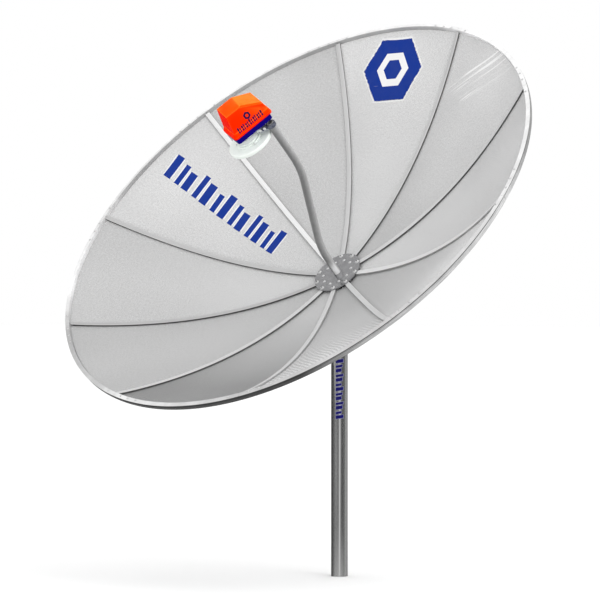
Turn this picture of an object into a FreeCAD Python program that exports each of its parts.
"""Mesh satellite dish on a mast: ten petals between curved ribs, a bent feed tube and a C-band receiver.

Units are millimetres and degrees. Three frames are used:
- the row frame: +Z up, origin at the centre of the mast's foot, the dish faces -Y;
- the bowl frame: origin at the reflector's vertex, +Z along the boresight, +X the row's +X;
- the receiver frame: the bowl frame turned about the boresight, its XY plane on the receiver's underside.
The throat's axis is parallel to the boresight and stands a little to one side of it, as in the photo.
"""

import FreeCAD, Part
import math
import os

from FreeCAD import Placement, Rotation, Vector

os.makedirs("parts", exist_ok=True)

# ---- Reflector -------------------------------------------------------------------------------
DISH_RADIUS = 750.0
FOCAL_LENGTH = 500.0
PETAL_COUNT = 10
PETAL_ANGLE = 360.0 / PETAL_COUNT
RIB_PHASE = 1.4             # the first rib's angle from +X, counter-clockwise seen from the front
REST_ELEVATION = 43.0
VERTEX_HEIGHT = 864.0       # of the reflector's vertex, straight above the mast
PETAL_THICKNESS = 1.0
PETAL_INNER_RADIUS = 70.0
PETAL_OUTER_RADIUS = 737.0
PETAL_FLAT_SHARE = 0.75     # out to this share of the radius a petal is flat from rib to rib
PETAL_EDGE_GAP = 3.0        # from a rib's middle plane to the petal's edge

# ---- Ribs ------------------------------------------------------------------------------------
RIB_WIDTH = 14.0
RIB_FRONT = 8.0             # how far the cap stands in front of the reflecting surface
RIB_BACK = 12.0             # how far the rear flange stands behind it
RIB_INNER_RADIUS = 24.0
RIB_TANG_RADIUS = 76.0      # inside this radius the rib is a straight tang between the hub plates
RIB_OUTER_RADIUS = 736.0
RIB_NECK = 4.0
RIB_WEB = 3.0
GROOVE_BELOW = 0.7
GROOVE_ABOVE = 2.2
REAR_FLANGE = 2.5
SEAT_FLANGE = 1.6

# ---- Rim -------------------------------------------------------------------------------------
RIM_TOP = 283.0             # height of the front lip over the vertex
RIM_HEIGHT = 18.5
RIM_LIP = 12.0
RIM_WALL = 2.0
RIM_LIP_OVERHANG = 2.5
RIM_INNER_WALL = 12.0
RIM_LEDGE = 12.0
RIM_JOINT_GAP = 1.0
SPLICE_BACK_ANGLE = 4.2
SPLICE_AHEAD_ANGLE = 9.4
SPLICE_SCREW_ANGLES = (-2.6, 2.3, 4.9, 7.6)
SPLICE_SCREW_RADIUS = 742.8

# ---- Hub -------------------------------------------------------------------------------------
HUB_RADIUS = 73.5
HUB_PLATE = 3.0
HUB_REAR_RADIUS = 79.0
HUB_BOLT_CIRCLE = 66.0
HUB_RIVET_CIRCLE = 46.0
HUB_BOLT_RADIUS = 3.0
HUB_HOLE_RADIUS = 3.05
CONTACT = 0.05              # gap left between faces that touch

# ---- Feed tube -------------------------------------------------------------------------------
FEED_TUBE_RADIUS = 11.0
FEED_TUBE_WALL = 1.8
FEED_ANGLE = 34.0           # the plane in which the tube bends, from +X
FEED_OFFSET = 89.0          # the tube's end stands this far from the boresight
FEED_BEND = 18.0
FEED_FIRST_CORNER = 110.0
FEED_BEND_RADIUS = 300.0
FEED_TUBE_TOP = 561.0

# ---- Receiver, heights along the boresight -------------------------------------------------------
RECEIVER_TURN = 60.0        # the receiver's long side, from +X
RECEIVER_BASE = 569.0
THROAT_RADIUS = 30.5
THROAT_BORE = 27.0
THROAT_MOUTH = 512.0
THROAT_SHIFT = 11.4         # from the boresight to the throat's axis, along the receiver's long side
RING_RADIUS = 65.3
RING_FRONT = 524.0
RING_BACK = 536.0
CLAMP_LOW = 547.0
CLAMP_HIGH = 559.0
CLAMP_SHEET = 3.0
CLAMP_HALF_GAP = 1.0
BASE_BOX = (-25.0, 95.0, -45.0, 40.0)      # the blue tray's sides in the receiver frame
BASE_BLUE_HEIGHT = 17.0
BASE_SPIGOT_HEIGHT = 22.0
COVER_CREST = 87.0
COVER_WALL = 2.2
CONNECTOR_PLACES = (28.0, 56.0)             # along the tray's far side
CONNECTOR_HEIGHT = 8.0
CONNECTOR_RADIUS = 4.76                     # the 3/8-32 thread of an F port
CONNECTOR_HEX = 11.0
COVER_SCREW_PLACES = ((-15.5, -35.5), (85.5, -35.5), (-15.5, 30.5), (85.5, 30.5))
THROAT_SCREW_ANGLES = (25.0, 155.0, 205.0, 335.0)   # in the receiver frame
BOARD_SCREW_PLACES = ((-14.0, -25.0), (75.0, -25.0), (-14.0, 21.0), (66.0, 21.5))

# ---- Mount -----------------------------------------------------------------------------------
MAST_RADIUS = 24.15
MAST_BORE = 21.65
MAST_TOP = 769.9
MAST_SEAT_RADIUS = 23.85    # the top of the mast is turned down for the sleeve
MAST_SEAT_BOTTOM = 664.0
SLEEVE_BORE = 23.9
SLEEVE_RADIUS = 28.7
SLEEVE_BOTTOM = 666.0
SLEEVE_TOP = 770.0
SLEEVE_CAP = 4.0
EAR_INNER = 24.8
EAR_OUTER = 30.8
CHEEK_INNER = 31.1
CHEEK_OUTER = 35.1
PIVOT_Y = -45.0
PIVOT_Z = 763.0
PIVOT_RADIUS = 6.0
CLAMP_STUD = (35.0, -35.0)  # from the pivot, in the row's Y and Z
SLOT_HALF_WIDTH = 6.4
ELEVATION_LOW = 15.0
ELEVATION_HIGH = 80.0
AZIMUTH_BOLT_HEIGHT = 680.0
AZIMUTH_BOLT_RADIUS = 4.0

BOWL_PLACE = Placement(Vector(0, 0, VERTEX_HEIGHT), Rotation(Vector(1, 0, 0), 90.0 - REST_ELEVATION))
RECEIVER_PLACE = Placement(Vector(0, 0, RECEIVER_BASE), Rotation(Vector(0, 0, 1), RECEIVER_TURN))
UP = Vector(0, 0, 1)
ORIGIN = Vector(0, 0, 0)
PAST = 1.0                  # how far a cutting tool runs past the face it cuts


# ---- General helpers -----------------------------------------------------------------------------
def save(name, shape):
    """Writes one node's STEP file in the row frame."""
    if not shape.isValid():
        raise RuntimeError(name + " is not a valid shape")
    shape.exportStep("parts/" + name + ".step")


def save_bowl(name, shape):
    """Writes a shape that was made in the bowl frame."""
    save(name, moved(shape, BOWL_PLACE))


def save_receiver(name, shape):
    """Writes a shape that was made in the receiver frame."""
    save(name, moved(moved(shape, RECEIVER_PLACE), BOWL_PLACE))


def save_feed(name, shape):
    """Writes a shape that was made in the bowl frame with its axis on the boresight, on the throat's axis."""
    save_bowl(name, moved(shape, Placement(polar(THROAT_SHIFT, RECEIVER_TURN), Rotation())))


def moved(shape, place):
    """A copy of the shape, carried by a placement."""
    copy = shape.copy()
    copy.Placement = place.multiply(copy.Placement)
    return copy


def turned(shape, angle):
    """A copy of the shape, turned about +Z."""
    return moved(shape, Placement(ORIGIN, Rotation(UP, angle)))


def around(shape, angles):
    """Separate copies of the shape, one at each angle about +Z."""
    return Part.makeCompound([turned(shape, angle) for angle in angles])


def polar(radius, angle, height=0.0):
    """A point at that radius and angle about +Z."""
    spin = math.radians(angle)
    return Vector(radius * math.cos(spin), radius * math.sin(spin), height)


def upright(shape, radius, angle):
    """A copy of an upright shape, moved out to that radius and angle."""
    return moved(shape, Placement(polar(radius, angle), Rotation()))


def disc(radius, low, high, centre=(0.0, 0.0)):
    """An upright cylinder between two heights."""
    return Part.makeCylinder(radius, high - low, Vector(centre[0], centre[1], low))


def block(x0, x1, y0, y1, z0, z1):
    """A box between two corners."""
    return Part.makeBox(x1 - x0, y1 - y0, z1 - z0, Vector(x0, y0, z0))


def hexagon(across_flats, low, high, centre=(0.0, 0.0)):
    """An upright hexagonal prism."""
    corner = across_flats / math.sqrt(3.0)
    points = [polar(corner, 60.0 * k, low) + Vector(centre[0], centre[1], 0) for k in range(7)]
    return Part.Face(Part.makePolygon(points)).extrude(Vector(0, 0, high - low))


def dome(radius, height, base):
    """A flat-bottomed spherical cap that stands on the height called base."""
    ball = (radius * radius + height * height) / (2.0 * height)
    sphere = Part.makeSphere(ball, Vector(0, 0, base + height - ball))
    return sphere.common(disc(radius + 1.0, base, base + height + 1.0))


def fused(first, *others):
    """One solid from several that overlap."""
    shape = first
    for other in others:
        shape = shape.fuse(other)
    return shape.removeSplitter()


def along(shape, start, direction):
    """Lays a shape that was made along +Z from the origin along a direction from a start point."""
    return moved(shape, Placement(start, Rotation(UP, direction)))


def face_from(corners):
    """A flat face with straight sides."""
    return Part.Face(Part.makePolygon(list(corners) + [corners[0]]))


def revolved(profile, start_angle, sweep):
    """Turns an outline of (radius, height) points about +Z."""
    face = face_from([Vector(r, 0, z) for r, z in profile])
    return turned(face.revolve(ORIGIN, UP, sweep), start_angle)


def flange_nut(bore, across_flats, height, flange_radius, flange):
    """A hexagon nut with a round flange, standing on z = 0."""
    body = fused(disc(flange_radius, 0, flange), hexagon(across_flats, 0, height))
    return body.cut(disc(bore, -1, height + 1))


# ---- Reflector shapes, in the bowl frame -------------------------------------------------------------
def paraboloid(radius):
    """The true reflector's height over its vertex."""
    return radius * radius / (4.0 * FOCAL_LENGTH)


def rib_angles():
    return [RIB_PHASE + PETAL_ANGLE * k for k in range(PETAL_COUNT)]


def middle_angles():
    return [angle + PETAL_ANGLE / 2.0 for angle in rib_angles()]


def parabola_edge(start, end, offset):
    """The reflector's curve from one radius to another in the XZ plane, moved along the boresight."""
    curve = Part.BezierCurve()
    middle = (start + end) / 2.0
    curve.setPoles([
        Vector(start, 0, paraboloid(start) + offset),
        Vector(middle, 0, start * end / (4.0 * FOCAL_LENGTH) + offset),
        Vector(end, 0, paraboloid(end) + offset),
    ])
    return curve.toShape()


def curved_bar(start, end, low, high, side, width):
    """A bar between two offsets from the reflector's curve. It spans width from y = side."""
    bottom = parabola_edge(start, end, low)
    top = parabola_edge(end, start, high)
    rise = Vector(0, 0, high - low)
    inner_foot = Vector(start, 0, paraboloid(start) + low)
    outer_foot = Vector(end, 0, paraboloid(end) + low)
    inner = Part.makeLine(inner_foot + rise, inner_foot)
    outer = Part.makeLine(outer_foot, outer_foot + rise)
    bar = Part.Face(Part.Wire([bottom, outer, top, inner])).extrude(Vector(0, width, 0))
    bar.translate(Vector(0, side, 0))
    return bar


def rib():
    """A rib along +X: a cap in front of the petals, a slot on each side for their edges, a webbed back."""
    tang_top = paraboloid(RIB_TANG_RADIUS) + RIB_FRONT
    knee = paraboloid(RIB_TANG_RADIUS) - RIB_BACK
    edges = [
        Part.makeLine(Vector(RIB_INNER_RADIUS, 0, -RIB_BACK), Vector(RIB_TANG_RADIUS, 0, -RIB_BACK)),
        Part.makeLine(Vector(RIB_TANG_RADIUS, 0, -RIB_BACK), Vector(RIB_TANG_RADIUS, 0, knee)),
        parabola_edge(RIB_TANG_RADIUS, RIB_OUTER_RADIUS, -RIB_BACK),
        Part.makeLine(
            Vector(RIB_OUTER_RADIUS, 0, paraboloid(RIB_OUTER_RADIUS) - RIB_BACK),
            Vector(RIB_OUTER_RADIUS, 0, paraboloid(RIB_OUTER_RADIUS) + RIB_FRONT),
        ),
        parabola_edge(RIB_OUTER_RADIUS, RIB_TANG_RADIUS, RIB_FRONT),
        Part.makeLine(Vector(RIB_TANG_RADIUS, 0, tang_top), Vector(RIB_INNER_RADIUS, 0, tang_top)),
        Part.makeLine(Vector(RIB_INNER_RADIUS, 0, tang_top), Vector(RIB_INNER_RADIUS, 0, -RIB_BACK)),
    ]
    bar = Part.Face(Part.Wire(edges)).extrude(Vector(0, RIB_WIDTH, 0))
    bar.translate(Vector(0, -RIB_WIDTH / 2.0, 0))
    reach = RIB_WIDTH
    slot_start = PETAL_INNER_RADIUS - 1.0
    slot_end = RIB_OUTER_RADIUS + 4.0
    web_low = REAR_FLANGE - RIB_BACK
    web_high = -GROOVE_BELOW - SEAT_FLANGE
    web_start = HUB_REAR_RADIUS + 1.0
    cuts = []
    for neck, start, low, high in (
        (RIB_NECK / 2.0, slot_start, -GROOVE_BELOW, GROOVE_ABOVE),
        (RIB_WEB / 2.0, web_start, web_low, web_high),
    ):
        cuts.append(curved_bar(start, slot_end, low, high, neck, reach))
        cuts.append(curved_bar(start, slot_end, low, high, -neck - reach, reach))
    bar = bar.cut(cuts)
    hole = disc(HUB_HOLE_RADIUS, -RIB_BACK - 1.0, tang_top + 1.0, (HUB_BOLT_CIRCLE, 0.0))
    return bar.cut(hole)


def petal_height(radius, off_middle):
    """A petal's height at an angle off its middle line: flat between its ribs, and round at the rim."""
    half = math.radians(PETAL_ANGLE / 2.0)
    share = (radius / DISH_RADIUS - PETAL_FLAT_SHARE) / (1.0 - PETAL_FLAT_SHARE)
    share = min(max(share, 0.0), 1.0)
    flatness = 1.0 - share * share * (3.0 - 2.0 * share)
    bulge = (math.cos(off_middle) / math.cos(half)) ** 2 - 1.0
    return paraboloid(radius) * (1.0 + flatness * bulge)


def petal():
    """A petal with its middle line along +X."""
    rows = 17
    columns = 9
    half = math.radians(PETAL_ANGLE / 2.0)
    grid = []
    for i in range(rows):
        radius = PETAL_INNER_RADIUS + (PETAL_OUTER_RADIUS - PETAL_INNER_RADIUS) * i / (rows - 1.0)
        reach = half - math.asin(PETAL_EDGE_GAP / radius)
        line = []
        for j in range(columns):
            spin = reach * (2.0 * j / (columns - 1.0) - 1.0)
            height = petal_height(radius, spin) - PETAL_THICKNESS / 2.0
            line.append(Vector(radius * math.cos(spin), radius * math.sin(spin), height))
        grid.append(line)
    surface = Part.BSplineSurface()
    surface.interpolate(grid)
    return surface.toShape().extrude(Vector(0, 0, PETAL_THICKNESS))


def rim_segment():
    """One arc of the rim channel from angle 0 on: a lip, a beaded outer wall, an inner wall and a ledge."""
    outer = DISH_RADIUS
    wall = outer - RIM_LIP_OVERHANG
    inner = outer - RIM_LIP
    top = RIM_TOP
    bottom = top - RIM_HEIGHT
    bead = 1.5
    lip_low = top - RIM_WALL
    profile = [
        (inner, top), (outer, top), (outer, lip_low), (wall, lip_low - 1.0),
        (wall, lip_low - 5.0), (wall + bead, lip_low - 6.5), (wall + bead, bottom + 3.5),
        (wall, bottom + 2.0), (wall, bottom), (wall - RIM_WALL, bottom), (wall - RIM_WALL, lip_low),
        (inner + RIM_WALL, lip_low), (inner + RIM_WALL, top - RIM_INNER_WALL), (inner, top - RIM_INNER_WALL),
    ]
    gap = math.degrees(RIM_JOINT_GAP / outer)
    channel = revolved(profile, gap / 2.0, PETAL_ANGLE - gap)
    ledge_inner = inner - RIM_LEDGE
    under = PETAL_THICKNESS / 2.0 + 0.2
    ledge_profile = [
        (inner + 1.0, paraboloid(inner + 1.0) - under), (ledge_inner, paraboloid(ledge_inner) - under),
        (ledge_inner, paraboloid(ledge_inner) - under - RIM_WALL),
        (inner + 1.0, paraboloid(inner + 1.0) - under - RIM_WALL),
    ]
    clear = math.degrees((RIB_WIDTH / 2.0 + 2.0) / ledge_inner)
    ledge = revolved(ledge_profile, clear, PETAL_ANGLE - 2.0 * clear)
    screw = disc(1.75, lip_low - 1.0, top + 1.0)
    cuts = []
    for joint in (0.0, PETAL_ANGLE):
        for angle in SPLICE_SCREW_ANGLES:
            if 0.0 < joint + angle < PETAL_ANGLE:
                cuts.append(upright(screw, SPLICE_SCREW_RADIUS, joint + angle))
    return fused(channel, ledge).cut(cuts)


def splice():
    """The bar under the lip that joins two rim segments at angle 0."""
    inner = DISH_RADIUS - RIM_LIP + RIM_WALL + 0.4
    outer = DISH_RADIUS - RIM_LIP_OVERHANG - RIM_WALL - 0.4
    high = RIM_TOP - RIM_WALL - CONTACT
    low = high - 5.0
    profile = [(inner, low), (outer, low), (outer, high), (inner, high)]
    bar = revolved(profile, -SPLICE_BACK_ANGLE, SPLICE_BACK_ANGLE + SPLICE_AHEAD_ANGLE)
    hole = disc(1.65, low - 1.0, high + 1.0)
    return bar.cut([upright(hole, SPLICE_SCREW_RADIUS, angle) for angle in SPLICE_SCREW_ANGLES])


def rim_screw():
    """A pan-head screw down through the lip and the splice."""
    shank = disc(1.6, RIM_TOP - RIM_WALL - 6.0, RIM_TOP + 0.5)
    return fused(shank, dome(3.5, 2.4, RIM_TOP + CONTACT))


def rim_screws():
    screw = rim_screw()
    made = []
    for joint in rib_angles():
        for angle in SPLICE_SCREW_ANGLES:
            made.append(upright(screw, SPLICE_SCREW_RADIUS, joint + angle))
    return Part.makeCompound(made)


# ---- Hub ---------------------------------------------------------------------------------------------
HUB_FRONT_LOW = paraboloid(RIB_TANG_RADIUS) + RIB_FRONT + CONTACT
HUB_FRONT_HIGH = HUB_FRONT_LOW + HUB_PLATE
HUB_REAR_HIGH = -RIB_BACK - CONTACT
HUB_REAR_LOW = HUB_REAR_HIGH - HUB_PLATE
BRACKET_HIGH = HUB_REAR_LOW - CONTACT
BRACKET_SHEET = 4.0
BRACKET_LOW = BRACKET_HIGH - BRACKET_SHEET
BRACKET_STUDS = ((20.0, 34.0), (-20.0, 34.0), (20.0, -34.0), (-20.0, -34.0))
BRACKET_STUD_RADIUS = 4.0
BRACKET_HALF_LENGTH = 48.0


def circle_of(radius, circle, low, high, angles):
    """Cylinders on a circle, as a list."""
    return [turned(disc(radius, low, high, (circle, 0.0)), angle) for angle in angles]


def hub_plate(radius, low, high):
    """A round plate with the bolt holes and the rivet holes."""
    plate = disc(radius, low, high)
    holes = circle_of(HUB_HOLE_RADIUS, HUB_BOLT_CIRCLE, low - 1.0, high + 1.0, rib_angles())
    holes += circle_of(HUB_HOLE_RADIUS, HUB_RIVET_CIRCLE, low - 1.0, high + 1.0, middle_angles())
    return plate.cut(holes)


def hub_front_plate():
    plate = hub_plate(HUB_RADIUS, HUB_FRONT_LOW, HUB_FRONT_HIGH)
    return plate.cut(disc(FEED_TUBE_RADIUS + 0.4, HUB_FRONT_LOW - 1.0, HUB_FRONT_HIGH + 1.0))


def hub_rear_plate():
    """The rear plate with the four studs that carry the tilt bracket."""
    plate = hub_plate(HUB_REAR_RADIUS, HUB_REAR_LOW, HUB_REAR_HIGH)
    studs = [disc(BRACKET_STUD_RADIUS, BRACKET_LOW - 12.0, HUB_REAR_HIGH, place) for place in BRACKET_STUDS]
    return fused(plate, *studs)


def hub_bolt():
    """A socket button bolt through the plates and a rib's tang, at radius 0."""
    shank = disc(HUB_BOLT_RADIUS, HUB_REAR_LOW - 8.0, HUB_FRONT_HIGH + 1.0)
    bolt = fused(shank, dome(6.5, 4.2, HUB_FRONT_HIGH + CONTACT))
    return bolt.cut(hexagon(4.0, HUB_FRONT_HIGH + 1.2, HUB_FRONT_HIGH + 6.0))


def hub_nut():
    body = hexagon(10.0, HUB_REAR_LOW - 5.5, HUB_REAR_LOW - CONTACT)
    return body.cut(disc(HUB_HOLE_RADIUS, HUB_REAR_LOW - 7.0, HUB_REAR_LOW + 1.0))


def hub_rivet():
    """A dome-head rivet, flush with the back of the rear plate."""
    shank = disc(HUB_BOLT_RADIUS, HUB_REAR_LOW, HUB_FRONT_HIGH + 1.0)
    return fused(shank, dome(4.5, 2.0, HUB_FRONT_HIGH + CONTACT))


def on_circle(shape, circle, angles):
    """Separate copies of an upright piece on a circle."""
    return Part.makeCompound([moved(shape, Placement(polar(circle, a), Rotation(UP, a))) for a in angles])


SOCKET_RADIUS = 20.0
GRUB_RADIUS = 3.0
GRUB_ANGLE = RIB_PHASE + PETAL_ANGLE / 2.0


def feed_socket():
    """The collar between the hub plates that holds the feed tube's foot."""
    collar = disc(SOCKET_RADIUS, HUB_REAR_HIGH + CONTACT, HUB_FRONT_LOW - CONTACT)
    collar = collar.cut(disc(FEED_TUBE_RADIUS + CONTACT, -30.0, 30.0))
    return collar.cut(Part.makeCylinder(GRUB_RADIUS + CONTACT, 30.0, ORIGIN, polar(1.0, GRUB_ANGLE)))


def feed_grub_screw():
    start = polar(FEED_TUBE_RADIUS + CONTACT, GRUB_ANGLE)
    length = SOCKET_RADIUS - FEED_TUBE_RADIUS - 0.5
    screw = Part.makeCylinder(GRUB_RADIUS, length, start, polar(1.0, GRUB_ANGLE))
    key = Part.makeCylinder(1.4, 3.0, start + polar(length - 2.5, GRUB_ANGLE), polar(1.0, GRUB_ANGLE))
    return screw.cut(key)


# ---- Feed tube -----------------------------------------------------------------------------------------
def feed_path(foot, top):
    """Straight, a gentle bend away from the boresight, straight, and a gentle bend back parallel to it."""
    bend = math.radians(FEED_BEND)
    second_corner = FEED_FIRST_CORNER + FEED_OFFSET / math.tan(bend)
    trim = FEED_BEND_RADIUS * math.tan(bend / 2.0)
    half = bend / 2.0
    bow = FEED_BEND_RADIUS / math.cos(half) - FEED_BEND_RADIUS
    slope = Vector(math.sin(bend), 0, math.cos(bend))
    first = Vector(0, 0, FEED_FIRST_CORNER)
    second = Vector(FEED_OFFSET, 0, second_corner)
    inward = Vector(math.cos(half), 0, -math.sin(half))
    points = [
        Vector(0, 0, foot), first - Vector(0, 0, trim), first + inward * bow, first + slope * trim,
        second - slope * trim, second - inward * bow, second + Vector(0, 0, trim),
        Vector(FEED_OFFSET, 0, top),
    ]
    edges = [
        Part.makeLine(points[0], points[1]),
        Part.Arc(points[1], points[2], points[3]).toShape(),
        Part.makeLine(points[3], points[4]),
        Part.Arc(points[4], points[5], points[6]).toShape(),
        Part.makeLine(points[6], points[7]),
    ]
    return Part.Wire(edges)


def swept(path, radius):
    """A round bar along a path that starts straight up."""
    start = path.Vertexes[0].Point
    profile = Part.Wire([Part.makeCircle(radius, start, UP)])
    return path.makePipeShell([profile], True, False)


def feed_tube():
    """The bent tube from the hub to the receiver clamp, open at the top and bottom."""
    low = HUB_REAR_HIGH + CONTACT
    outside = swept(feed_path(low, FEED_TUBE_TOP), FEED_TUBE_RADIUS)
    inside = swept(feed_path(low - 2.0, FEED_TUBE_TOP + 2.0), FEED_TUBE_RADIUS - FEED_TUBE_WALL)
    return turned(outside.cut(inside), FEED_ANGLE)


# ---- Receiver clamp, in the bowl frame ---------------------------------------------------------------------
CLAMP_BOLT_PLACES = (45.0, 59.0)     # from the throat's axis towards the tube's end
CLAMP_BOLT_RADIUS = 2.5
CLAMP_BOLT_HEX = 8.0
CLAMP_MIDDLE = (CLAMP_LOW + CLAMP_HIGH) / 2.0


def strap():
    """The vector from the throat's axis to the feed tube's end."""
    return polar(FEED_OFFSET, FEED_ANGLE) - polar(THROAT_SHIFT, RECEIVER_TURN)


def save_strap(name, shape):
    """Writes a shape that was made with the throat's axis at x = 0 and the tube's end on +X."""
    save_feed(name, turned(shape, math.degrees(math.atan2(strap().y, strap().x))))


def lnb_clamp():
    """A one-piece strap round the throat. Its two legs end in half cups round the tube."""
    span = strap().Length
    low = CLAMP_LOW - PAST
    high = CLAMP_HIGH + PAST
    leg = CLAMP_HALF_GAP + CLAMP_SHEET
    body = fused(
        disc(THROAT_RADIUS + CONTACT + CLAMP_SHEET, CLAMP_LOW, CLAMP_HIGH),
        disc(FEED_TUBE_RADIUS + CONTACT + CLAMP_SHEET, CLAMP_LOW, CLAMP_HIGH, (span, 0.0)),
        block(THROAT_RADIUS, span, -leg, leg, CLAMP_LOW, CLAMP_HIGH),
    )
    cuts = [
        disc(THROAT_RADIUS + CONTACT, low, high),
        disc(FEED_TUBE_RADIUS + CONTACT, low, high, (span, 0.0)),
        block(0.0, span + 2.0 * FEED_TUBE_RADIUS, -CLAMP_HALF_GAP, CLAMP_HALF_GAP, low, high),
    ]
    for x in CLAMP_BOLT_PLACES:
        start = Vector(x, -leg - PAST, CLAMP_MIDDLE)
        cuts.append(Part.makeCylinder(CLAMP_BOLT_RADIUS + 0.1, 2.0 * (leg + PAST), start, Vector(0, 1, 0)))
    return body.cut(cuts)


def clamp_bolts():
    """Two bolts across the strap's legs, each with its nut."""
    seat = CLAMP_HALF_GAP + CLAMP_SHEET + CONTACT
    shank = disc(CLAMP_BOLT_RADIUS, -seat - 1.0, seat + 6.0)
    bolt = fused(shank, hexagon(CLAMP_BOLT_HEX, -seat - 3.5, -seat))
    nut = hexagon(CLAMP_BOLT_HEX, seat, seat + 4.0).cut(disc(CLAMP_BOLT_RADIUS + CONTACT, 0, 20.0))
    made = []
    for x in CLAMP_BOLT_PLACES:
        for piece in (bolt, nut):
            made.append(along(piece, Vector(x, 0, CLAMP_MIDDLE), Vector(0, 1, 0)))
    return Part.makeCompound(made)


# ---- Scalar ring and throat, in the bowl frame -------------------------------------------------------------
RING_COLLAR = 36.0
RING_COLLAR_HIGH = RING_BACK + 5.0
RING_SCREW_HEIGHT = RING_BACK + 2.5
RING_GROOVES = ((37.0, 46.0), (50.0, 59.0))
RING_GROOVE_DEPTH = 8.0
RING_EDGE = 3.5
RING_SCREW_ANGLES = (RECEIVER_TURN - 90.0, RECEIVER_TURN + 30.0, RECEIVER_TURN + 150.0)


def scalar_ring():
    """A thick disc with two deep rings of corrugation in the face towards the dish and a collar behind."""
    bore = THROAT_RADIUS + 0.1
    body = disc(RING_RADIUS, RING_FRONT, RING_BACK)
    rims = [edge for edge in body.Edges if edge.Curve.TypeId == "Part::GeomCircle"]
    body = body.makeFillet(RING_EDGE, rims)
    body = fused(body, disc(RING_COLLAR, RING_BACK - 1.0, RING_COLLAR_HIGH))
    grooves = []
    for inner, outer in RING_GROOVES:
        ring = disc(outer, RING_FRONT - PAST, RING_FRONT + RING_GROOVE_DEPTH)
        grooves.append(ring.cut(disc(inner, RING_FRONT - 2.0 * PAST, RING_BACK)))
    body = body.cut(grooves).cut(disc(bore, RING_FRONT - 1.0, RING_COLLAR_HIGH + 1.0))
    holes = []
    for angle in RING_SCREW_ANGLES:
        start = polar(bore - PAST, angle, RING_SCREW_HEIGHT)
        holes.append(Part.makeCylinder(1.55, 10.0, start, polar(1.0, angle)))
    return body.cut(holes)


def ring_screws():
    """Set screws through the collar onto the throat."""
    made = []
    for angle in RING_SCREW_ANGLES:
        start = polar(THROAT_RADIUS + 0.15, angle, RING_SCREW_HEIGHT)
        shank = Part.makeCylinder(1.5, 8.0, start, polar(1.0, angle))
        head = Part.makeCylinder(2.4, 2.6, start + polar(6.5, angle), polar(1.0, angle))
        made.append(fused(shank, head))
    return Part.makeCompound(made)


THROAT_FLANGE = 34.0
THROAT_FLANGE_HEIGHT = 7.0
THROAT_SCREW_CIRCLE = 30.5
SMALL_SCREW_RADIUS = 1.5
SMALL_SCREW_LENGTH = 8.0
SMALL_SCREW_HEAD = 2.7
SMALL_SCREW_HEAD_HEIGHT = 1.9
BOARD_LOW = 8.0
BOARD_HIGH = 9.6
PROBE_PLACES = ((THROAT_SHIFT + 12.0, 0.0), (THROAT_SHIFT - 12.0, 0.0))
PROBE_HOLE = 1.4
TRAY_FLOOR = 3.0
THROAT_PLACE = Placement(Vector(THROAT_SHIFT, 0, 0), Rotation())


def throat_screw_places():
    """The throat's screws in the receiver frame."""
    places = [polar(THROAT_SCREW_CIRCLE, angle) + Vector(THROAT_SHIFT, 0, 0) for angle in THROAT_SCREW_ANGLES]
    return [(place.x, place.y) for place in places]


def lnb_throat():
    """The round waveguide, made in the receiver frame, with the flange that screws to the tray."""
    mouth = THROAT_MOUTH - RECEIVER_BASE
    body = fused(disc(THROAT_RADIUS, mouth, -CONTACT), disc(THROAT_FLANGE, -THROAT_FLANGE_HEIGHT, -CONTACT))
    body = moved(body.cut(disc(THROAT_BORE, mouth - PAST, -2.0)), THROAT_PLACE)
    bore = SMALL_SCREW_RADIUS + CONTACT
    holes = [disc(PROBE_HOLE, -5.0, PAST, place) for place in PROBE_PLACES]
    holes += [disc(bore, 0.5 - THROAT_FLANGE_HEIGHT, PAST, place) for place in throat_screw_places()]
    return body.cut(holes)


def mouth_cap():
    """The plastic membrane pressed into the waveguide's mouth."""
    lip = disc(THROAT_RADIUS, THROAT_MOUTH - 2.5, THROAT_MOUTH - CONTACT)
    plug = disc(THROAT_BORE - CONTACT, THROAT_MOUTH - 1.0, THROAT_MOUTH + 5.0)
    return fused(lip, plug).cut(disc(THROAT_BORE - 2.0, THROAT_MOUTH - 0.5, THROAT_MOUTH + 6.0))


# ---- Receiver box, in the receiver frame -------------------------------------------------------------------
def rounded_outline(box, grow, corner, height):
    """A rectangle with round corners, grown outwards on all sides."""
    x0, x1, y0, y1 = box[0] - grow, box[1] + grow, box[2] - grow, box[3] + grow
    shape = block(x0, x1, y0, y1, height, height + 1.0)
    upright = [e for e in shape.Edges if abs(e.Vertexes[0].Z - e.Vertexes[-1].Z) > 0.5]
    shape = shape.makeFillet(corner, upright)
    base = min(shape.Faces, key=lambda face: face.CenterOfMass.z)
    return base.OuterWire


def rounded_block(box, grow, corner, low, high):
    face = Part.Face(rounded_outline(box, grow, corner, low))
    return face.extrude(Vector(0, 0, high - low))


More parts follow.
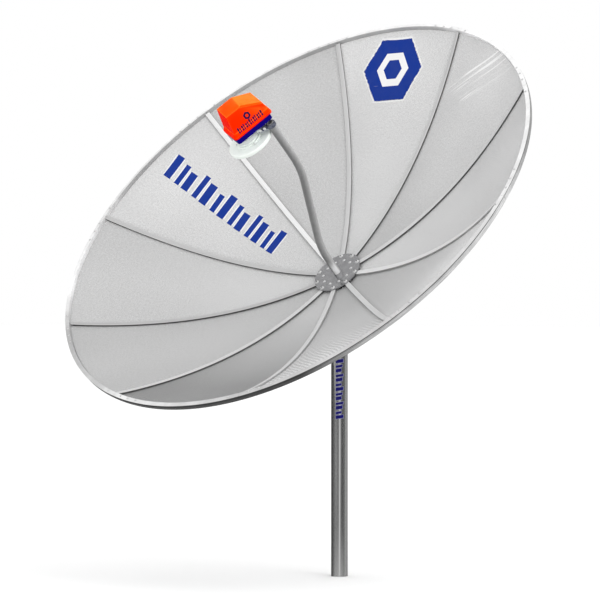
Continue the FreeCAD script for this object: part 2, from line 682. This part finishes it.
def lnb_base():
    """The blue tray: a floor, walls and a spigot that the cover's skirt goes over."""
    tray = rounded_block(BASE_BOX, 0.0, 9.0, 0.0, BASE_BLUE_HEIGHT)
    spigot = rounded_block(BASE_BOX, -2.6, 7.0, BASE_BLUE_HEIGHT - 1.0, BASE_SPIGOT_HEIGHT)
    tray = fused(tray, spigot)
    tray = tray.cut(rounded_block(BASE_BOX, -5.0, 5.0, TRAY_FLOOR, BASE_SPIGOT_HEIGHT + 1.0))
    posts = [disc(3.0, TRAY_FLOOR - 1.0, BOARD_LOW - CONTACT, place) for place in BOARD_SCREW_PLACES]
    tray = fused(tray, *posts)
    bore = SMALL_SCREW_RADIUS + CONTACT
    holes = [disc(bore, -PAST, 5.0, place) for place in COVER_SCREW_PLACES]
    holes += [disc(bore, 1.0, 9.0, place) for place in BOARD_SCREW_PLACES]
    holes += [disc(bore, -PAST, 5.0, place) for place in throat_screw_places()]
    holes += [disc(PROBE_HOLE, -PAST, 5.0, place) for place in PROBE_PLACES]
    port = disc(CONNECTOR_RADIUS + 0.2, -7.0, PAST)
    holes += [along(port, port_place(x), Vector(0, 1, 0)) for x in CONNECTOR_PLACES]
    return tray.cut(holes)


def beyond(point, normal, size=300.0):
    """A large block on the outer side of a plane."""
    cutter = Part.makeBox(size, size, size, Vector(-size / 2.0, -size / 2.0, 0))
    return along(cutter, point, normal)


def cover_planes():
    """The cover's faces, each as a point on it and its outward normal."""
    crest = COVER_CREST
    crease = Vector(43.0, 37.0, crest)
    crease_front = Vector(43.0, -25.0, crest - 6.0)
    right_end = Vector(98.0, 5.0, 56.0)
    right_roof = (crease - crease_front).cross(right_end - crease_front)
    if right_roof.z < 0:
        right_roof = right_roof * -1.0
    right_roof.normalize()
    front = Vector(0, -59.0, 18.0).normalize()
    bevel = (right_roof + front).normalize()
    return [
        (Vector(0, -43.0, 21.0), front),
        (Vector(0, 41.0, 21.0), Vector(0, 64.0, 4.0).normalize()),
        (Vector(-22.0, 0, 21.0), Vector(-64.0, 0, 13.0).normalize()),
        (Vector(98.5, 0, 21.0), Vector(34.0, 0, 3.0).normalize()),
        (crease_front, Vector(0, -6.0, 62.0).normalize()),
        (crease_front, right_roof),
        (crease_front - bevel * 2.4, bevel),
    ]


def cover_form(inset, low):
    """The cover's outer form, or with an inset the space inside it: a faceted hood on a flared skirt."""
    hood = block(-40.0, 120.0, -60.0, 60.0, low, 110.0)
    for point, normal in cover_planes():
        hood = hood.cut(beyond(point - normal * inset, normal))
    skirt_box = (-28.0, 103.0, -48.0, 43.0)
    hood_box = (-21.0, 101.0, -41.0, 40.0)
    skirt = rounded_block(skirt_box, -inset, 10.0, low, 21.5)
    flare = Part.makeLoft(
        [rounded_outline(skirt_box, -inset, 10.0, 21.5), rounded_outline(hood_box, -inset - 0.5, 6.0, 32.0)],
        True, True,
    )
    return fused(hood, skirt, flare)


def lnb_cover():
    """The orange hood, hollow, with four screw posts down to the tray's floor."""
    outside = cover_form(0.0, BASE_BLUE_HEIGHT + 0.1)
    inside = cover_form(COVER_WALL, BASE_BLUE_HEIGHT - 1.0)
    shell = outside.cut(inside)
    posts = []
    for place in COVER_SCREW_PLACES:
        upper = disc(4.0, 19.0, COVER_CREST + 5.0, place).common(outside)
        posts.append(upper.fuse(disc(4.0, TRAY_FLOOR + CONTACT, 19.5, place)))
    shell = fused(shell, *posts)
    return shell.cut([disc(SMALL_SCREW_RADIUS + CONTACT, 0.0, 10.0, place) for place in COVER_SCREW_PLACES])


def small_screw(place, seat, side):
    """A screw whose head rests on the height called seat. side is 1 if its head is on top, else -1."""
    shank = disc(SMALL_SCREW_RADIUS, -SMALL_SCREW_LENGTH, 1.0)
    screw = fused(shank, disc(SMALL_SCREW_HEAD, CONTACT, SMALL_SCREW_HEAD_HEIGHT))
    return along(screw, Vector(place[0], place[1], seat), Vector(0, 0, side))


def lnb_screws():
    """Four screws each for the cover from below, for the throat from inside the tray, and for the board."""
    made = [small_screw(place, 0.0, -1) for place in COVER_SCREW_PLACES]
    made += [small_screw(place, TRAY_FLOOR, 1) for place in throat_screw_places()]
    made += [small_screw(place, BOARD_HIGH, 1) for place in BOARD_SCREW_PLACES]
    return Part.makeCompound(made)


def port_place(x):
    """Where an F port's axis leaves the tray's far side."""
    return Vector(x, BASE_BOX[3], CONNECTOR_HEIGHT)


def lnb_connectors():
    """Two F ports that point sideways, out of the tray's far side."""
    nut = hexagon(CONNECTOR_HEX, CONTACT, 3.0)
    port = fused(disc(CONNECTOR_RADIUS, -12.5, 1.0), nut, disc(CONNECTOR_RADIUS, 2.0, 15.0))
    port = port.cut(disc(2.2, 6.0, 15.0 + PAST))
    return Part.makeCompound([along(port, port_place(x), Vector(0, 1, 0)) for x in CONNECTOR_PLACES])


def lnb_board():
    """The circuit board with the two waveguide probes and a few parts soldered to it."""
    board = block(-18.0, 79.0, -29.0, 25.0, BOARD_LOW, BOARD_HIGH)
    probes = [disc(0.9, -12.0, BOARD_LOW + 0.5, place) for place in PROBE_PLACES]
    chips = [
        block(-2.0, 6.0, -26.0, -18.0, BOARD_HIGH - 0.5, 12.0),
        block(66.0, 76.0, -14.0, -2.0, BOARD_HIGH - 0.5, 12.5),
    ]
    holes = [disc(SMALL_SCREW_RADIUS + CONTACT, 5.0, 12.0, place) for place in BOARD_SCREW_PLACES]
    return fused(board, *probes, *chips).cut(holes)


def lnb_shield():
    """The folded metal can over the amplifier stages."""
    can = block(10.0, 62.0, -27.0, 19.0, BOARD_HIGH + CONTACT, 20.0)
    return can.cut(block(10.8, 61.2, -26.2, 18.2, BOARD_HIGH - 1.0, 19.2))


# ---- Tilt bracket, in the bowl frame -----------------------------------------------------------------------
def pivot_in_bowl():
    """The elevation pivot's Y and Z in the bowl frame."""
    point = BOWL_PLACE.inverse().multVec(Vector(0, PIVOT_Y, PIVOT_Z))
    return point.y, point.z


def stud_angle(elevation):
    """The clamp stud's angle round the pivot in the bowl frame, from +Y towards +Z, at that elevation."""
    lean = math.degrees(math.atan2(CLAMP_STUD[1], CLAMP_STUD[0]))
    return elevation + lean - 90.0


def about_pivot(radius, angle, x=0.0):
    """A point round the pivot in the bowl frame."""
    y, z = pivot_in_bowl()
    spin = math.radians(angle)
    return Vector(x, y + radius * math.cos(spin), z + radius * math.sin(spin))


def pivot_arc(radius, start, end, x):
    """An arc round the pivot from one angle to another."""
    middle = about_pivot(radius, (start + end) / 2.0, x)
    return Part.Arc(about_pivot(radius, start, x), middle, about_pivot(radius, end, x)).toShape()


def cheek(x):
    """One side of the bracket: from the hub down to the pivot, with a slot for the clamp stud."""
    slot_radius = math.hypot(*CLAMP_STUD)
    rim = slot_radius + SLOT_HALF_WIDTH + 9.0
    nose = 17.0
    start = stud_angle(ELEVATION_LOW) - 17.0
    end = stud_angle(ELEVATION_HIGH) + 17.0
    top = (BRACKET_HIGH + BRACKET_LOW) / 2.0
    corner_a = Vector(x, -BRACKET_HALF_LENGTH, top)
    corner_b = Vector(x, BRACKET_HALF_LENGTH, top)
    nose_top = about_pivot(nose, 95.0, x)
    nose_side = about_pivot(nose, 150.0, x)
    nose_low = about_pivot(nose, 205.0, x)
    edges = [
        Part.makeLine(corner_a, nose_top),
        Part.Arc(nose_top, nose_side, nose_low).toShape(),
        Part.makeLine(nose_low, about_pivot(rim, start, x)),
        pivot_arc(rim, start, end, x),
        Part.makeLine(about_pivot(rim, end, x), corner_b),
        Part.makeLine(corner_b, corner_a),
    ]
    plate = Part.Face(Part.Wire(edges)).extrude(Vector(CHEEK_OUTER - CHEEK_INNER, 0, 0))
    return plate.cut([slot_cut(x - 1.0), pivot_hole(x - 1.0)])


def pivot_hole(x):
    y, z = pivot_in_bowl()
    return Part.makeCylinder(PIVOT_RADIUS + CONTACT, 8.0, Vector(x, y, z), Vector(1, 0, 0))


def slot_cut(x):
    """The arc slot about the pivot, with round ends, as a solid to cut away."""
    slot_radius = math.hypot(*CLAMP_STUD)
    low = stud_angle(ELEVATION_LOW) - 1.0
    high = stud_angle(ELEVATION_HIGH) + 1.0
    outer = slot_radius + SLOT_HALF_WIDTH
    inner = slot_radius - SLOT_HALF_WIDTH
    edges = [
        pivot_arc(outer, low, high, x),
        Part.makeLine(about_pivot(outer, high, x), about_pivot(inner, high, x)),
        pivot_arc(inner, high, low, x),
        Part.makeLine(about_pivot(inner, low, x), about_pivot(outer, low, x)),
    ]
    slot = Part.Face(Part.Wire(edges)).extrude(Vector(8.0, 0, 0))
    ends = [
        Part.makeCylinder(SLOT_HALF_WIDTH, 8.0, about_pivot(slot_radius, angle, x), Vector(1, 0, 0))
        for angle in (low, high)
    ]
    return slot.fuse(ends)


def tilt_bracket():
    """A folded plate: a base on the rear hub plate and two slotted cheeks."""
    reach = BRACKET_HALF_LENGTH
    base = block(-CHEEK_OUTER, CHEEK_OUTER, -reach, reach, BRACKET_LOW, BRACKET_HIGH)
    bore = BRACKET_STUD_RADIUS + 0.2
    base = base.cut([disc(bore, BRACKET_LOW - PAST, BRACKET_HIGH + PAST, place) for place in BRACKET_STUDS])
    return fused(base, cheek(CHEEK_INNER), cheek(-CHEEK_OUTER))


def bracket_nuts():
    made = []
    for place in BRACKET_STUDS:
        nut = flange_nut(BRACKET_STUD_RADIUS + CONTACT, 13.0, 8.0, 8.5, 1.6)
        made.append(along(nut, Vector(place[0], place[1], BRACKET_LOW - CONTACT), Vector(0, 0, -1)))
    return Part.makeCompound(made)


# ---- Mount on the mast, in the row frame ------------------------------------------------------------
def ear(x):
    """The side plate on the sleeve that carries the pivot bolt and the clamp stud."""
    nose = 15.0
    lean = math.radians(225.0)
    nose_top = Vector(x, PIVOT_Y, PIVOT_Z + nose)
    nose_front = Vector(x, PIVOT_Y - nose, PIVOT_Z)
    nose_low = Vector(x, PIVOT_Y + nose * math.cos(lean), PIVOT_Z + nose * math.sin(lean))
    low = 692.0
    back = 20.0
    corners = [nose_low, Vector(x, 2.0, low), Vector(x, back, low), Vector(x, back, SLEEVE_TOP), nose_top]
    edges = [Part.Arc(nose_top, nose_front, nose_low).toShape()]
    edges += [Part.makeLine(a, b) for a, b in zip(corners, corners[1:])]
    return Part.Face(Part.Wire(edges)).extrude(Vector(EAR_OUTER - EAR_INNER, 0, 0))


def azimuth_directions():
    return [Vector(0, 1, 0), polar(1.0, 210.0), polar(1.0, 330.0)]


def azimuth_sleeve():
    """The sleeve over the mast's top, welded up with its cap, ears, pivot spacer, studs and bolt bosses."""
    sleeve = disc(SLEEVE_RADIUS, SLEEVE_BOTTOM, SLEEVE_TOP + SLEEVE_CAP)
    pieces = [ear(EAR_INNER), ear(-EAR_OUTER)]
    spacer = Vector(2.0 - EAR_OUTER, PIVOT_Y, PIVOT_Z)
    pieces.append(Part.makeCylinder(10.0, 2.0 * EAR_OUTER - 4.0, spacer, Vector(1, 0, 0)))
    stud_y = PIVOT_Y + CLAMP_STUD[0]
    stud_z = PIVOT_Z + CLAMP_STUD[1]
    reach = CHEEK_OUTER + 13.0 - EAR_INNER
    for side in (1.0, -1.0):
        start = Vector(side * (EAR_INNER + 0.5), stud_y, stud_z)
        pieces.append(Part.makeCylinder(PIVOT_RADIUS, reach, start, Vector(side, 0, 0)))
    for direction in azimuth_directions():
        boss = hexagon(16.0, SLEEVE_RADIUS - 2.0, SLEEVE_RADIUS + 8.0)
        pieces.append(along(boss, Vector(0, 0, AZIMUTH_BOLT_HEIGHT), direction))
    body = fused(sleeve, *pieces)
    cuts = [disc(SLEEVE_BORE, SLEEVE_BOTTOM - 1.0, SLEEVE_TOP)]
    pivot = Vector(-40.0, PIVOT_Y, PIVOT_Z)
    cuts.append(Part.makeCylinder(PIVOT_RADIUS + 0.1, 80.0, pivot, Vector(1, 0, 0)))
    for direction in azimuth_directions():
        start = Vector(0, 0, AZIMUTH_BOLT_HEIGHT)
        cuts.append(Part.makeCylinder(AZIMUTH_BOLT_RADIUS + CONTACT, 60.0, start, direction))
    return body.cut(cuts)


def azimuth_bolts():
    """Three bolts through the bosses that grip the mast."""
    made = []
    tip = SLEEVE_BORE + 0.1
    head = SLEEVE_RADIUS + 16.0
    for direction in azimuth_directions():
        bolt = fused(disc(AZIMUTH_BOLT_RADIUS, tip, head + 1.0), hexagon(13.0, head, head + 5.5))
        made.append(along(bolt, Vector(0, 0, AZIMUTH_BOLT_HEIGHT), direction))
    return Part.makeCompound(made)


def pivot_bolt():
    """The bolt across the ears and cheeks, with its head on the -X side."""
    seat = CHEEK_OUTER + 0.1
    bolt = fused(disc(PIVOT_RADIUS, -seat - 1.0, seat + 14.0), hexagon(19.0, -seat - 7.5, -seat))
    return along(bolt, Vector(0, PIVOT_Y, PIVOT_Z), Vector(1, 0, 0))


def elevation_nuts():
    """Three equal flange nuts: one on the pivot bolt and one on each clamp stud."""
    seat = CHEEK_OUTER + 0.1
    nut = flange_nut(PIVOT_RADIUS + CONTACT, 19.0, 10.0, 12.5, 2.0)
    stud_y = PIVOT_Y + CLAMP_STUD[0]
    stud_z = PIVOT_Z + CLAMP_STUD[1]
    return Part.makeCompound([
        along(nut, Vector(seat, PIVOT_Y, PIVOT_Z), Vector(1, 0, 0)),
        along(nut, Vector(seat, stud_y, stud_z), Vector(1, 0, 0)),
        along(nut, Vector(-seat, stud_y, stud_z), Vector(-1, 0, 0)),
    ])


def mast_tube():
    """The pipe mast, cut square at both ends, with its top turned down for the sleeve."""
    pipe = fused(disc(MAST_RADIUS, 0.0, MAST_SEAT_BOTTOM), disc(MAST_SEAT_RADIUS, 0.0, MAST_TOP))
    return pipe.cut(disc(MAST_BORE, -1.0, MAST_TOP + 1.0))


# ---- Write every node ------------------------------------------------------------------------------------
def write_reflector():
    one_rib = rib()
    one_petal = petal()
    one_segment = rim_segment()
    for k, angle in enumerate(rib_angles()):
        number = "%02d" % (k + 1)
        save_bowl("rib_" + number, turned(one_rib, angle))
        save_bowl("petal_" + number, turned(one_petal, angle + PETAL_ANGLE / 2.0))
        save_bowl("rim_segment_" + number, turned(one_segment, angle))
    save_bowl("rim_splices", around(splice(), rib_angles()))
    save_bowl("rim_screws", rim_screws())


def write_hub():
    save_bowl("hub_front_plate", hub_front_plate())
    save_bowl("hub_rear_plate", hub_rear_plate())
    save_bowl("hub_bolts", on_circle(hub_bolt(), HUB_BOLT_CIRCLE, rib_angles()))
    save_bowl("hub_nuts", on_circle(hub_nut(), HUB_BOLT_CIRCLE, rib_angles()))
    save_bowl("hub_rivets", on_circle(hub_rivet(), HUB_RIVET_CIRCLE, middle_angles()))
    save_bowl("feed_socket", feed_socket())
    save_bowl("feed_grub_screw", feed_grub_screw())
    save_bowl("feed_tube", feed_tube())
    save_bowl("tilt_bracket", tilt_bracket())
    save_bowl("bracket_nuts", bracket_nuts())


def write_receiver():
    save_strap("lnb_clamp", lnb_clamp())
    save_strap("lnb_clamp_bolts", clamp_bolts())
    save_feed("scalar_ring", scalar_ring())
    save_feed("ring_screws", ring_screws())
    save_feed("mouth_cap", mouth_cap())
    save_receiver("lnb_throat", lnb_throat())
    save_receiver("lnb_base", lnb_base())
    save_receiver("lnb_cover", lnb_cover())
    save_receiver("lnb_screws", lnb_screws())
    save_receiver("lnb_connectors", lnb_connectors())
    save_receiver("lnb_board", lnb_board())
    save_receiver("lnb_shield", lnb_shield())


def write_mount():
    save("azimuth_sleeve", azimuth_sleeve())
    save("azimuth_bolts", azimuth_bolts())
    save("pivot_bolt", pivot_bolt())
    save("elevation_nuts", elevation_nuts())
    save("mast_tube", mast_tube())


write_reflector()
write_hub()
write_receiver()
write_mount()
